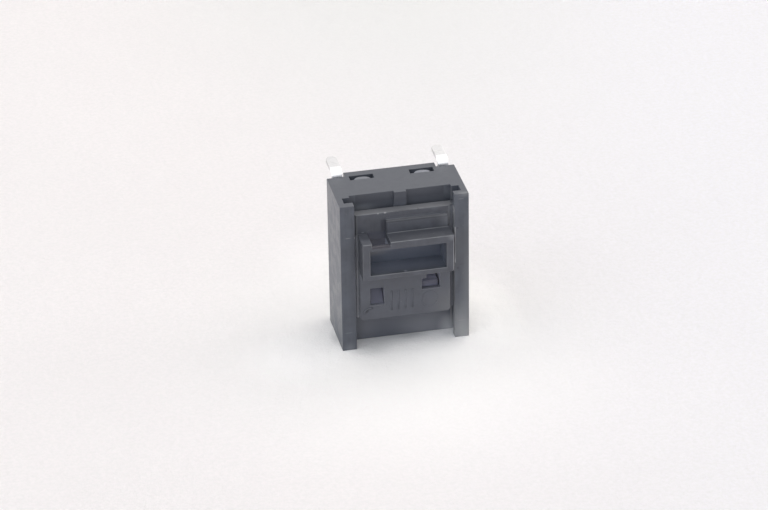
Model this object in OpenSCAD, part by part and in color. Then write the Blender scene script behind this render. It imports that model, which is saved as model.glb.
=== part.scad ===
// Miniature slide switch for a printed circuit board.
// It stands on its lower end. X runs across it, +Y towards the board side, +Z along the slide.
// Its origin is in the middle of the lower end face.

/* [Housing] */
// Width across the two side walls
body_w = 12; // [11:0.1:15]
// Height along the slide
body_h = 15; // [14:0.1:18]
// Depth of the side walls, from the rails' front to their rear edge
side_d = 5.85; // [5.7:0.05:7.2]
// How far the end walls reach behind the side walls, between the pins
strip_d = 0.8; // [0.7:0.05:1.2]
// Thickness of the end walls
end_wall = 0.9; // [0.7:0.05:1.1]
// Thickness of the side walls around the cavity
side_wall = 0.9; // [0.75:0.05:1.1]

/* [Channel] */
// Width of each front rail
rail_w = 1.35; // [1.2:0.01:1.7]
// Thickness of the lip that holds the slider in
lip_t = 0.75; // [0.6:0.05:0.95]
// Depth of the groove behind the lip
groove_d = 0.97; // [0.9:0.01:1.15]
// Wall left outside the groove
groove_side = 0.57; // [0.45:0.01:0.7]
// Thickness of the wall between the channel and the cavity
back_wall = 0.98; // [0.85:0.01:1.15]
// Depth of the two hollows in the channel's back wall
hollow_d = 0.36; // [0.2:0.01:0.42]
// Width of the rib between the two hollows
rib_w = 1.16; // [0.8:0.02:1.5]
// Width of the ledge left outside each hollow
hollow_inset = 0.68; // [0.5:0.02:0.8]
// Height of the plain band below the hollows
hollow_z = 3; // [2.4:0.1:3.6]

/* [End windows] */
// Width of each window for a snap nose
window_w = 2.25; // [2.1:0.05:2.5]
// Depth of each window
window_d = 0.79; // [0.7:0.01:0.8]
// Distance of the windows from the middle plane
window_x = 2.82; // [2.5:0.01:3]
// Distance from the rear face to the windows
window_back = 0.83; // [0.75:0.01:1]

/* [Slider] */
// Gap between the body's upper end and the slider at rest
top_gap = 1.37; // [1.2:0.01:1.7]
// How far the slider can be pushed down
travel = 1.6; // [1.3:0.05:1.8]
// Gap on each side between the slider's raised front and the rails
plate_gap = 0.4; // [0.25:0.01:0.5]
// Gap on each side between the slider's shoulders and the rails
shoulder_gap = 0.22; // [0.08:0.01:0.3]
// Height of the lower plate
lower_h = 5; // [4.6:0.05:5.4]
// Height of the driver frame
frame_h = 3.72; // [3.4:0.02:4.2]
// Height of the block above the frame
block_h = 1.28; // [1:0.02:1.5]
// Width left free at the block's right end
block_side = 0.2; // [0.1:0.01:0.4]
// Height of the slider's edge above the block
ridge_h = 0.68; // [0.4:0.01:0.8]
// Setback of the lower plate behind the rails
lower_back = 0.05; // [0:0.01:0.2]
// Setback of the block behind the rails
block_back = 0.24; // [0.1:0.01:0.4]
// Setback of the upper face behind the rails
upper_back = 0.7; // [0.5:0.01:0.8]
// How far the driver frame stands out past the rails
frame_out = 1.52; // [1.2:0.02:2]
// Side walls of the driver frame
frame_side = 0.7; // [0.5:0.02:0.9]
// Wall above the driver pocket
frame_top = 0.74; // [0.6:0.02:0.9]
// Wall below the driver pocket
frame_floor = 0.47; // [0.4:0.01:0.6]
// Thickness of the slider behind the driver pocket
pocket_back = 0.72; // [0.55:0.01:0.8]
// Width of the piece of frame beside the cut-out
cutout_side = 0.87; // [0.6:0.01:1.2]
// Width of the cut-out in the top of the frame
cutout_w = 1.73; // [1.3:0.01:2.1]
// Radius of the lower plate's bottom corners
corner_r = 0.35; // [0.2:0.05:0.5]

/* [Slider holes] */
// Distance of both holes from the plate's sides
hole_side = 0.96; // [0.8:0.01:1.2]
// Width and height of the left hole
hole_l = [1.32, 1.76];
// Height of the left hole above the slider's lower edge
hole_l_z = 1.47; // [1.2:0.01:1.7]
// Width and height of the right hole
hole_r = [1.72, 1.5];
// Height of the right hole above the slider's lower edge
hole_r_z = 2.55; // [2.3:0.01:2.8]
// Width and height of the step in the right hole's corner
hole_step = [0.43, 0.4];
// Depth of the ledge that the hooks catch on
catch = 0.25; // [0.18:0.01:0.3]
// Thickness of that ledge
catch_t = 0.32; // [0.25:0.01:0.4]
// Setback of the left peg's upper end behind the plate's front
peg_l_back = 1; // [0.6:0.05:1.05]
// Setback of the left peg's lower end, where its sloping front comes forward
peg_l_front = 0.2; // [0.1:0.05:0.5]
// Setback of the right hook behind the plate's front
peg_r_back = 0.34; // [0.25:0.01:0.9]
// Height of the right hook
hook_h = 0.66; // [0.5:0.01:0.8]

/* [Terminals] */
// Distance between the two pins
pin_pitch = 10; // [9.4:0.1:12.5]
// Width of each pin
pin_w = 1; // [0.8:0.05:1.1]
// Thickness of the terminal sheet
pin_t = 0.4; // [0.3:0.01:0.5]
// Height of the pins above the body
pin_rise = 0.6; // [0.5:0.02:1]
// Space between each pin and the end wall beside it
pin_side = 0.2; // [0.1:0.05:0.4]
// Inside radius of the bend
bend_r = 0.15; // [0.1:0.01:0.3]
// How far the pins reach behind the rear face
pin_out = 2.35; // [1.5:0.05:4]
// Height of the inner arm
arm_h = 1.8; // [1.5:0.05:1.9]
// Distance of the contacts from the upper end
contact_down = 3.7; // [3.5:0.05:4.2]
// Distance between the two contacts
contact_pitch = 6; // [5.4:0.1:6.4]
// Radius of each contact head
contact_r = 0.8; // [0.6:0.02:0.85]

/* [Moving contact] */
// Thickness of the bridge strip
bridge_t = 0.25; // [0.2:0.01:0.3]
// Height of the bridge strip
bridge_h = 1.6; // [1.3:0.05:1.7]
// Height of the two contact heads on it
head_h = 0.25; // [0.15:0.01:0.3]
// Radius of those heads
head_r = 0.5; // [0.4:0.01:0.6]
// Distance between the two contact springs
spring_pitch = 3.6; // [3:0.1:4]
// Mean radius of the springs
spring_r = 0.55; // [0.45:0.01:0.6]
// Wire diameter of the springs
wire_d = 0.2; // [0.12:0.01:0.22]
// Turns of each spring
spring_turns = 3.5; // [2.5:0.5:4]

/* [Detent] */
// Height of the detent's nose above the lower end
detent_z = 5.6; // [5:0.1:6]
// Width of the detent spring
leaf_w = 2; // [1.5:0.1:2.4]
// Length of the detent spring
leaf_l = 5.2; // [4.6:0.1:5.6]
// Thickness of the detent spring
leaf_t = 0.15; // [0.1:0.01:0.2]
// Depth of the two seats in the carrier
seat_d = 0.45; // [0.3:0.01:0.5]

/* [Base] */
// Thickness of the base inside the side walls
base_in = 0.75; // [0.7:0.01:1]
// Width of the base's rear flange outside each pin
flange_side = 0.2; // [0.1:0.05:0.3]
// Height of the flange's corners above and below the cavity
ear_h = 0.3; // [0.1:0.05:0.4]
// Width of each snap nose
nose_w = 1.6; // [1.3:0.05:1.8]
// Depth of the raised part of each snap nose
nose_d = 0.5; // [0.4:0.01:0.55]
// How far the noses stay below the end faces
nose_down = 0.04; // [0.03:0.01:0.2]
// How far the noses' low rear part stays below the end faces
step_down = 0.5; // [0.4:0.01:0.6]

/* [Clearances] */
// Running clearance of the slider in its groove and of the carrier in the cavity
run_gap = 0.1; // [0.06:0.01:0.12]
// Clearance between fixed pieces
fit_gap = 0.04; // [0.02:0.01:0.06]
// Clearance of the pegs in the slider's holes
peg_gap = 0.05; // [0.03:0.01:0.08]
// Clearance of the pegs in the wall's slots
slot_gap = 0.15; // [0.1:0.01:0.2]
// Clearance between the carrier and the base
rear_gap = 0.15; // [0.12:0.01:0.2]
// Gap between the moving and the fixed contacts
touch_gap = 0.02; // [0.01:0.01:0.04]

/* [Hidden] */
$fn = 48;
eps = 0.05;
half_w = body_w/2;
rear_y = side_d + strip_d;
pin_x = pin_pitch/2;
strip_x = pin_x - pin_w/2 - pin_side;

channel_x = half_w - rail_w;
groove_x = half_w - groove_side;
groove_y = lip_t + groove_d;
cavity_x = half_w - side_wall;
cavity_y = groove_y + back_wall;
cavity_top = body_h - end_wall;
hollow_x = groove_x - hollow_inset;

window_y = rear_y - window_back - window_d;
window_end = rear_y - window_back;

slider_h = lower_h + frame_h + block_h + ridge_h;
slider_z = body_h - top_gap - slider_h;
frame_z = slider_z + lower_h;
ledge_z = frame_z + frame_h;
block_z = ledge_z + block_h;
ridge_z = block_z + ridge_h;
guide_x = groove_x - run_gap;
guide_y = lip_t + run_gap;
slider_back = groove_y - run_gap;
plate_x = channel_x - plate_gap;
shoulder_x = channel_x - shoulder_gap;
pocket_x = plate_x - frame_side;
pocket_y = slider_back - pocket_back;
pocket_top = ledge_z - frame_top;
pocket_floor = frame_z + frame_floor;
cutout_x = -plate_x + cutout_side;
block_x = cutout_x + cutout_w;
cutout_lip = 0.4;
cutout_notch = 0.3;

hole_l_x = -plate_x + hole_side;
hole_l_low = slider_z + hole_l_z;
hole_r_x = plate_x - hole_side - hole_r[0];
hole_r_low = slider_z + hole_r_z;
catch_y = slider_back - catch_t;

base_y = side_d - base_in;
base_x = cavity_x - fit_gap;
flange_x = pin_x + pin_w/2 + flange_side;
carrier_y = cavity_y + run_gap;
carrier_back = base_y - rear_gap;
carrier_x = cavity_x - run_gap;
carrier_top = cavity_top - run_gap;
carrier_low = end_wall + run_gap + travel;

contact_z = body_h - contact_down;
contact_x = contact_pitch/2;
terminal_y = side_d + fit_gap;
terminal_z = contact_z - arm_h/2;
arm_x = contact_x - contact_r - 0.1;
shank_r = contact_r*0.55;
tail_t = 0.16;

bridge_back = base_y - touch_gap - head_h;
bridge_y = bridge_back - bridge_t;
bridge_x = contact_x + 0.7;
bridge_floor = bridge_y - 0.5;
spring_x = spring_pitch/2;
spring_seat = carrier_y + 0.4;
head_shank_r = head_r*0.6;

seat_r = 0.6;
leaf_nose = carrier_back - seat_d + 0.07;
leaf_y = base_y + 0.1;
leaf_half = 0.5;

// A box between two opposite corners
module box(low, high) {
    translate(low) cube(high - low);
}

// A round bar or bore along Y
module bar_y(x, z, low, high, r) {
    translate([x, low, z]) rotate([-90, 0, 0]) cylinder(r = r, h = high - low);
}

// Puts a piece drawn from the rails' front face into the part's own frame
module in_frame() {
    translate([0, -side_d/2, 0]) children();
}

// The same shape on the left (-1) or on the right (1)
module on_side(side) {
    mirror([side < 0 ? 1 : 0, 0, 0]) children();
}

// The same shape at the upper and at the lower end
module both_ends() {
    children();
    translate([0, 0, body_h]) mirror([0, 0, 1]) children();
}

module housing_outline() {
    box([-half_w, 0, 0], [half_w, side_d, body_h]);
    both_ends() box([-strip_x, side_d - eps, 0], [strip_x, rear_y, end_wall]);
}

// The T-shaped channel that the slider runs in, open at both ends
module channel_cut() {
    box([-channel_x, -eps, -eps], [channel_x, lip_t + eps, body_h + eps]);
    box([-groove_x, lip_t, -eps], [groove_x, groove_y, body_h + eps]);
    for (side = [-1, 1]) on_side(side)
        box([rib_w/2, groove_y - eps, hollow_z], [hollow_x, groove_y + hollow_d, body_h + eps]);
}

// The slots that the carrier's pegs pass through
module peg_slots() {
    low = [slot_gap, 0, slot_gap + travel];
    high = [slot_gap, 0, slot_gap];
    box([hole_l_x, groove_y - eps, hole_l_low] - low,
        [hole_l_x + hole_l[0], cavity_y + eps, hole_l_low + hole_l[1]] + high);
    box([hole_r_x, groove_y - eps, hole_r_low] - low,
        [hole_r_x + hole_r[0], cavity_y + eps, hole_r_low + hole_r[1]] + high);
}

module housing() {
    color("#5c616c") in_frame() difference() {
        housing_outline();
        channel_cut();
        peg_slots();
        box([-cavity_x, cavity_y, end_wall], [cavity_x, rear_y + eps, cavity_top]);
        for (x = [-window_x, window_x])
            both_ends() box([x - window_w/2, window_y, -eps], [x + window_w/2, window_end, end_wall + eps]);
    }
}

// A snap nose: a low block that catches on the window's rear edge, and a rounded lug before it
module nose(x) {
    low_z = end_wall + fit_gap;
    lug_r = (pow(nose_w/2, 2) + pow(nose_d, 2))/(2*nose_d);
    crown_r = 0.8;
    box([x - nose_w/2, base_y, step_down], [x + nose_w/2, window_end - fit_gap, low_z + eps]);
    intersection() {
        box([x - nose_w/2, base_y, nose_down], [x + nose_w/2, base_y + nose_d, low_z + eps]);
        translate([x, base_y + nose_d - lug_r, 0]) cylinder(r = lug_r, h = end_wall*2);
        translate([x - nose_w, base_y + nose_d*0.6, nose_down + crown_r])
            rotate([0, 90, 0]) cylinder(r = crown_r, h = nose_w*2);
    }
}

// The room for one terminal, its arm and its contact
module terminal_room() {
    gap = fit_gap;
    low_z = terminal_z - gap;
    box([pin_x - pin_w/2 - gap, side_d - eps, low_z], [pin_x + pin_w/2 + gap, terminal_y + pin_t + gap, body_h]);
    box([arm_x - gap, base_y - eps, low_z], [pin_x + pin_w/2 + gap, terminal_y + pin_t + gap, low_z + arm_h + 2*gap]);
    bar_y(contact_x, contact_z, terminal_y, terminal_y + pin_t + tail_t + gap, contact_r);
}

module base() {
    low_z = end_wall + fit_gap;
    color("#4d525c") in_frame() difference() {
        union() {
            box([-base_x, base_y, low_z], [base_x, rear_y, body_h - low_z]);
            box([-flange_x, side_d + fit_gap, low_z], [flange_x, rear_y, body_h - low_z]);
            for (side = [-1, 1]) on_side(side)
                box([strip_x + fit_gap, side_d + fit_gap, end_wall - ear_h], [flange_x, rear_y, body_h - end_wall + ear_h]);
            for (x = [-window_x, window_x]) both_ends() nose(x);
        }
        for (side = [-1, 1]) on_side(side) terminal_room();
        box([-leaf_w/2 - 0.1, base_y - eps, detent_z - leaf_l/2 - 0.1],
            [leaf_w/2 + 0.1, base_y + 0.5, detent_z + leaf_l/2 + 0.1]);
    }
}

// The lower plate's outline, with its two bottom corners rounded
module lower_outline() {
    difference() {
        translate([-plate_x, 0]) square([2*plate_x, lower_h + eps]);
        for (side = [-1, 1]) mirror([side < 0 ? 1 : 0, 0]) translate([plate_x - corner_r, corner_r]) difference() {
            translate([0, -corner_r - eps]) square([corner_r + eps, corner_r + eps]);
            circle(r = corner_r);
        }
    }
}

// The pocket that a driver engages in, and the cut-out in the frame above it
module driver_pocket() {
    box([-pocket_x, -frame_out - eps, pocket_floor], [pocket_x, pocket_y, pocket_top]);
    box([cutout_x, -frame_out - eps, ledge_z - cutout_notch], [block_x, upper_back, ledge_z + eps]);
    box([cutout_x, -frame_out + cutout_lip, pocket_top - eps], [block_x, upper_back, ledge_z + eps]);
}

module slider_holes() {
    box([hole_l_x, -eps, hole_l_low], [hole_l_x + hole_l[0], catch_y, hole_l_low + hole_l[1]]);
    box([hole_l_x, -eps, hole_l_low], [hole_l_x + hole_l[0] - catch, slider_back + eps, hole_l_low + hole_l[1]]);
    difference() {
        union() {
            box([hole_r_x, -eps, hole_r_low], [hole_r_x + hole_r[0], catch_y, hole_r_low + hole_r[1]]);
            box([hole_r_x, -eps, hole_r_low + catch],
                [hole_r_x + hole_r[0], slider_back + eps, hole_r_low + hole_r[1]]);
        }
        box([hole_r_x - eps, -2*eps, hole_r_low + hole_r[1] - hole_step[1]],
            [hole_r_x + hole_step[0], slider_back + 2*eps, hole_r_low + hole_r[1] + eps]);
    }
}

module slider() {
    color("#596068") in_frame() difference() {
        union() {
            box([-guide_x, guide_y, slider_z], [guide_x, slider_back, ridge_z]);
            box([-shoulder_x, upper_back, slider_z], [shoulder_x, slider_back, ridge_z]);
            translate([0, slider_back, slider_z]) rotate([90, 0, 0]) linear_extrude(slider_back - lower_back) lower_outline();
            box([-plate_x, -frame_out, frame_z], [plate_x, slider_back, ledge_z]);
            box([block_x, block_back, ledge_z - eps], [plate_x - block_side, slider_back, block_z]);
        }
        driver_pocket();
        slider_holes();
    }
}

// The two pegs that pass through the housing and snap into the slider
module pegs() {
    gap = peg_gap;
    head_l = [hole_l_x + hole_l[0] - gap, catch_y - gap, hole_l_low + hole_l[1] - gap];
    translate([hole_l_x + gap, 0, 0]) rotate([90, 0, 90]) linear_extrude(head_l[0] - hole_l_x - gap) polygon([
        [lower_back + peg_l_front, hole_l_low + gap],
        [head_l[1], hole_l_low + gap],
        [head_l[1], head_l[2]],
        [lower_back + peg_l_back, head_l[2]]
    ]);
    box([hole_l_x + gap, catch_y - gap - eps, hole_l_low + gap], [head_l[0] - catch, carrier_y + eps, head_l[2]]);
    hook_top = hole_r_low + hook_h;
    hook_x = hole_r_x + hole_r[0] - 3*gap;
    box([hole_r_x + gap, lower_back + peg_r_back, hole_r_low + gap], [hook_x, catch_y - gap, hook_top]);
    box([hole_r_x + gap, catch_y - gap - eps, hole_r_low + catch + gap], [hook_x, carrier_y + eps, hook_top]);
}

module contact_carrier() {
    gap = 2*fit_gap;
    color("#545a78") in_frame() {
        pegs();
        difference() {
            box([-carrier_x, carrier_y, carrier_low], [carrier_x, carrier_back, carrier_top]);
            box([-bridge_x - gap, bridge_floor, contact_z - bridge_h/2 - gap],
                [bridge_x + gap, carrier_back + eps, contact_z + bridge_h/2 + gap]);
            for (x = [-spring_x, spring_x])
                bar_y(x, contact_z, spring_seat, bridge_floor + eps, spring_r + wire_d/2 + gap);
            for (z = [detent_z, detent_z + travel])
                translate([-leaf_w/2 - 0.2, carrier_back - seat_d + seat_r, z]) rotate([0, 90, 0])
                    cylinder(r = seat_r, h = leaf_w + 0.4);
        }
    }
}

// The pin: up behind the side wall, round the bend and straight back to a round tip
module pin() {
    low_x = pin_x - pin_w/2;
    bend_out = bend_r + pin_t;
    bend_z = body_h + pin_rise - bend_out;
    box([low_x, terminal_y, terminal_z], [low_x + pin_w, terminal_y + pin_t, bend_z]);
    translate([low_x, terminal_y + bend_out, bend_z]) rotate([90, 0, 90]) linear_extrude(pin_w) difference() {
        circle(r = bend_out);
        circle(r = bend_r);
        translate([-bend_out - eps, -2*bend_out]) square([2*bend_out + 2*eps, 2*bend_out]);
        translate([0, -bend_out]) square(2*bend_out);
    }
    tip_y = rear_y + pin_out - pin_w/2;
    translate([pin_x, 0, bend_z + bend_r]) linear_extrude(pin_t) {
        translate([-pin_w/2, terminal_y + bend_out]) square([pin_w, tip_y - terminal_y - bend_out]);
        translate([0, tip_y]) circle(d = pin_w);
    }
}

module terminal() {
    color("#d9dbe0") difference() {
        union() {
            pin();
            box([arm_x, terminal_y, terminal_z], [pin_x + pin_w/2, terminal_y + pin_t, terminal_z + arm_h]);
        }
        bar_y(contact_x, contact_z, terminal_y - eps, terminal_y + pin_t + eps, shank_r);
    }
}

module terminal_left() {
    in_frame() on_side(-1) terminal();
}

module terminal_right() {
    in_frame() on_side(1) terminal();
}

// A riveted contact: its head faces the moving contact
module fixed_contact(side) {
    color("#c9ccd2") in_frame() on_side(side) {
        bar_y(contact_x, contact_z, base_y, terminal_y, contact_r);
        bar_y(contact_x, contact_z, terminal_y - eps, terminal_y + pin_t + eps, shank_r - fit_gap/2);
        bar_y(contact_x, contact_z, terminal_y + pin_t, terminal_y + pin_t + tail_t, shank_r*1.4);
    }
}

module fixed_contact_left() {
    fixed_contact(-1);
}

module fixed_contact_right() {
    fixed_contact(1);
}

// The strip that joins the two terminals
module bridge_contact() {
    color("#c08a52") in_frame() difference() {
        box([-bridge_x, bridge_y, contact_z - bridge_h/2], [bridge_x, bridge_back, contact_z + bridge_h/2]);
        for (x = [-contact_x, contact_x])
            bar_y(x, contact_z, bridge_y - eps, bridge_back + eps, head_shank_r + fit_gap/2);
    }
}

// A contact riveted into the strip
module moving_contact(x) {
    color("#c9ccd2") in_frame() {
        bar_y(x, contact_z, bridge_back, bridge_back + head_h, head_r);
        bar_y(x, contact_z, bridge_y - eps, bridge_back + eps, head_shank_r);
        bar_y(x, contact_z, bridge_y - tail_t, bridge_y, head_shank_r*1.35);
    }
}

module moving_contact_left() {
    moving_contact(-contact_x);
}

module moving_contact_right() {
    moving_contact(contact_x);
}

// A coil spring along Y, swept with a round wire
module coil(low, high, turns) {
    sides = 8;
    steps = round(turns*16);
    wire_r = wire_d/2;
    length = high - low - wire_d;
    points = [for (i = [0:steps], j = [0:sides - 1]) let (
        turn = 360*turns*i/steps,
        reach = spring_r + wire_r*cos(360*j/sides)
    ) [reach*cos(turn), low + wire_r + length*i/steps + wire_r*sin(360*j/sides), reach*sin(turn)]];
    walls = [for (i = [0:steps - 1], j = [0:sides - 1]) let (k = (j + 1) % sides)
        [i*sides + j, (i + 1)*sides + j, (i + 1)*sides + k, i*sides + k]];
    first = [for (j = [0:sides - 1]) j];
    last = [for (j = [0:sides - 1]) steps*sides + sides - 1 - j];
    polyhedron(points, concat(walls, [first, last]));
}

module contact_spring(x) {
    color("#b9bcc2") in_frame() translate([x, 0, contact_z]) coil(spring_seat + 0.01, bridge_y - 0.01, spring_turns);
}

module contact_spring_left() {
    contact_spring(-spring_x);
}

module contact_spring_right() {
    contact_spring(spring_x);
}

// Front line of the detent spring: slightly bowed, with a round nose in its middle
function leaf_line(z) = leaf_y + 0.12*pow(2*z/leaf_l, 2)
    - (abs(z) < leaf_half ? (leaf_y - leaf_nose)*(1 + cos(180*z/leaf_half))/2 : 0);

module detent_spring() {
    ends = [for (z = [-leaf_l/2:leaf_l/52:leaf_l/2]) z];
    front = [for (z = ends) [leaf_line(z), z]];
    rear = [for (i = [len(ends) - 1:-1:0]) [leaf_line(ends[i]) + leaf_t, ends[i]]];
    color("#aeb2ba") in_frame() translate([-leaf_w/2, 0, detent_z])
        rotate([90, 0, 90]) linear_extrude(leaf_w) polygon(concat(front, rear));
}

housing();
base();
slider();
contact_carrier();
terminal_left();
terminal_right();
fixed_contact_left();
fixed_contact_right();
bridge_contact();
moving_contact_left();
moving_contact_right();
contact_spring_left();
contact_spring_right();
detent_spring();
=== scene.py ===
"""Looks of a miniature slide switch: moulded pieces, tinned pins and a studio stage."""

import math

import bmesh
import bpy
from bpy.props import FloatProperty, FloatVectorProperty, PointerProperty
from bpy.types import Operator, Panel, PropertyGroup
from mathutils import Matrix, Vector


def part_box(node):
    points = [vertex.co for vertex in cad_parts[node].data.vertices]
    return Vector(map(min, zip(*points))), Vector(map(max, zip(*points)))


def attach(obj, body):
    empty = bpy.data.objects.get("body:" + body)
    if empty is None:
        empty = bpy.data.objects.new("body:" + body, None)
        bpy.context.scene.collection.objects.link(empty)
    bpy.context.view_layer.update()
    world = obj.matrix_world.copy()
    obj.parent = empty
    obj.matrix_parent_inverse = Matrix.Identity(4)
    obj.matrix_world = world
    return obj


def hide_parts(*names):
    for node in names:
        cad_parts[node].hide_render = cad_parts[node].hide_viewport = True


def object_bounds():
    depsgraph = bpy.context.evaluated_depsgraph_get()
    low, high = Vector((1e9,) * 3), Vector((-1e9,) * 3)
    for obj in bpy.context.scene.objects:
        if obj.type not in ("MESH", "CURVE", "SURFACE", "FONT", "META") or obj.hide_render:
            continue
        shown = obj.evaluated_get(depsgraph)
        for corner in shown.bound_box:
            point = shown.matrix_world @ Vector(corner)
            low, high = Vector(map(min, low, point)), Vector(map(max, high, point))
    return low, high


bl_info = {
    "name": "Slide switch",
    "version": (1, 0, 0),
    "blender": (4, 5, 0),
    "location": "3D View > Sidebar > Slide switch",
    "description": "Builds the looks of a miniature slide switch piece by piece",
    "category": "Object",
}

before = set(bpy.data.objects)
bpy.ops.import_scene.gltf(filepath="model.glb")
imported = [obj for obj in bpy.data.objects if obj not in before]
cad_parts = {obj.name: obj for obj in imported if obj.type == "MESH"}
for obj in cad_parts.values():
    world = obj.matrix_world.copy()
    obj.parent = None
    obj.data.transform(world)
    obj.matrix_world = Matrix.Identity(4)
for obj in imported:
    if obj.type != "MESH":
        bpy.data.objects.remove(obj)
MM = 0.001
CAD_BOX = [list(corner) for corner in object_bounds()]

# Meshes. Corners closer than MERGE_DISTANCE (m) are one, and faces that turn by less than
# FLAT_ANGLE (degrees) are one flat face. Where faces turn by more than SHARP_ANGLE the edge is
# rounded if there is room, and where by more than CREASE_ANGLE it is shaded sharp.
MERGE_DISTANCE = 1e-7
FLAT_ANGLE = 0.5
SHARP_ANGLE = 30.0
CREASE_ANGLE = 50
# A rounding needs ROOM_FACTOR times its size beside it. Edges whose directions agree by more than
# ALONGSIDE run next to each other and take no room.
ROOM_FACTOR = 2.4
ALONGSIDE = 0.8
# Rub and painted highlight of a rounding by the way it faces. LEAST_RUB still tells a rounding from
# a plain face.
FACING = 0.3
SIDE_RUB = 0.25
LEAST_RUB = 0.01

# Raised lines: how deep their foot is sunk (mm), and shoulder height and crown half width as
# shares of the line's height and width.
SUNK = 0.02
SHOULDER = 0.55
CROWN = 0.28
# Plain marks on the slider's plate, in millimetres (x, z): upright bars, a ring and an arc.
# RING_LINE and ARC_LINE hold how many times as wide and as high as a bar's line theirs are.
BAR_PLACES = (-1.3, -0.65, 0, 0.65)
BAR_FOOT, BAR_HEAD = 3.75, 5.75
RING_CENTRE, RING_RADII, RING_LINE = (2.3, 4.45), (0.74, 0.78), (0.7, 0.7)
ARC_CENTRE, ARC_RADII, ARC_LINE = (-3.17, 3.62), (0.72, 0.56), (1.2, 2)
# Places on the slider (mm): what counts as the same height, how far in front of the block's front
# and behind it the corner at its foot lies, and how deep a pin's bend is.
CLOSE = 0.01
FOOT_BEFORE, FOOT_BEHIND = 0.1, 1
BEND_DEPTH = 0.75

# Plastic: shares of darker and lighter mottle, brightness of streaks, share of dust, how much
# smoother rubbed edges are and how much the roughness varies.
MOTTLE_DARK, MOTTLE_LIGHT = 0.14, 0.16
STREAK_BRIGHTNESS = 1.35
DUST_SHARE = 0.35
EDGE_SMOOTHING = 0.12
ROUGHNESS_SPREAD = 0.06
PLASTIC_IOR = 1.5
# Metal: depth of the drawn lines (m), and share, brightness and added roughness of stains.
DRAWN_DEPTH = 0.000003
STAIN_SHARE = 0.55
STAIN_BRIGHTNESS = 0.8
STAIN_ROUGHNESS = 0.12

DUST_COLOUR = (0.45, 0.45, 0.46)
FIBRE_COLOUR = (0.84, 0.83, 0.84)
# Painted highlight on the tin at the pins' bends.
TIN_HIGHLIGHT = (0.97, 0.97, 0.98)
SKY_COLOUR = (0.985, 0.985, 1)
# The paper's colour on the right, as shares of its colour on the left.
COOL_SHIFT = (0.965, 0.995, 1.035)
SENSOR_WIDTH = 36
CLIP_NEAR, CLIP_FAR = 0.01, 20

# In every table of marks, which hold real marks and painted light and shade, a row is (centre, half
# size, softness, share, colour), and in every table of painted light and shade boxes (low corner,
# high corner, fade, share, colour), in millimetres from the part's origin. Later rows lie over
# earlier ones.

HOUSING_LIGHT_AND_SHADE = (
    # Painted light on the band of the channel below the slider and on the right rail's inner face,
    # which lie in shade.
    ((-4.7, -2.6, -0.5), (4.7, -1.0, 2.9), (0.3, 0.3, 0.3), 0.9, (0.125, 0.132, 0.16)),
    ((4.6, -2.88, 0), (4.75, -1.0, 13.6), (0.02, 0.03, 0.1), 1.0, (0.24, 0.246, 0.265)),
    ((4.6, -2.95, 8.0), (4.75, -2.4, 11.6), (0.02, 0.05, 0.1), 1.0, (0.38, 0.385, 0.405)),
    # Painted shade on the top face.
    ((-5.95, -2.87, 14.98), (5.95, 5, 15.1), (0.1, 0.1, 0.02), 1.0, (0.069, 0.075, 0.093)),
    # Painted shade in the two hollows above the slider, darker towards their heads, with painted
    # light at their feet.
    ((-4.1, -1.3, 13.3), (4.1, -0.8, 14.93), (0.05, 0.2, 0.05), 1.0, (0.064, 0.07, 0.088)),
    ((-4.1, -1.3, 12.9), (4.1, -0.8, 13.7), (0.05, 0.2, 0.5), 1.0, (0.11, 0.117, 0.14)),
)

BASE_PAINTED_LIGHT = (
    # Painted light on the upper noses in the housing's windows, more on the right.
    ((0, 2, 14.3), (4, 4.6, 15.1), (0.1, 0.1, 0.1), 1.0, (0.22, 0.23, 0.27)),
    ((-4, 2, 14.3), (0, 4.6, 15.1), (0.1, 0.1, 0.1), 1.0, (0.17, 0.178, 0.205)),
)

SLIDER_MARKS_AND_LIGHT = (
    # Two burrs and a nick on the ridge.
    ((-1.67, -2.225, 13.58), (0.16, 0.12, 0.1), 0.6, 0.8, (0.42, 0.42, 0.43)),
    ((-2.32, -2.225, 13.56), (0.1, 0.12, 0.08), 0.6, 0.8, (0.42, 0.42, 0.43)),
    ((1.41, -2.3, 13.58), (0.07, 0.5, 0.1), 0.6, 0.8, (0.03, 0.032, 0.04)),
    # A burr in the pocket's mouth, and painted light on the right ends of the plate and the upper
    # face.
    ((-0.26, -4.2, 8.42), (0.22, 0.3, 0.15), 0.8, 0.5, (0.3, 0.31, 0.34)),
    ((4.2, -2.9, 3.6), (2.6, 0.8, 2.8), 1.0, 0.8, (0.15, 0.153, 0.165)),
    ((4.3, -2.5, 12.3), (1.7, 0.6, 1.6), 1.0, 1.0, (0.15, 0.155, 0.175)),
    # Painted shade in the middle of the ridge and painted light at its right end, and a burr on the
    # upper face.
    ((0, -2.25, 13.62), (1.8, 0.2, 0.14), 1.0, 0.9, (0.065, 0.067, 0.08)),
    ((-3.77, -2.25, 11.82), (0.2, 0.2, 0.09), 0.8, 0.7, (0.26, 0.265, 0.29)),
    ((3, -2.2, 13.6), (1.1, 0.4, 0.3), 1.0, 0.6, (0.15, 0.155, 0.17)),
    # Painted shade beside the arc.
    ((-3.62, -2.88, 3.9), (0.24, 0.15, 0.26), 0.7, 0.8, (0.03, 0.032, 0.04)),
    ((-3.3, -2.88, 4.1), (0.5, 0.15, 0.12), 0.8, 0.5, (0.04, 0.042, 0.05)),
    # Painted light on the pocket's back, and painted highlights on the driver frame's corners and
    # right edge.
    ((-3, -2.05, 9.5), (2.4, 0.5, 0.55), 1.0, 0.8, (0.23, 0.23, 0.245)),
    ((-3.38, -4.44, 11.66), (0.11, 0.13, 0.11), 0.7, 0.8, (0.3, 0.3, 0.32)),
    ((4.25, -4.44, 9.4), (0.12, 0.12, 2.6), 0.5, 0.8, (0.32, 0.325, 0.345)),
    ((4.1, -4.44, 11.5), (0.6, 0.3, 0.5), 1.0, 0.8, (0.2, 0.205, 0.225)),
)

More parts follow.
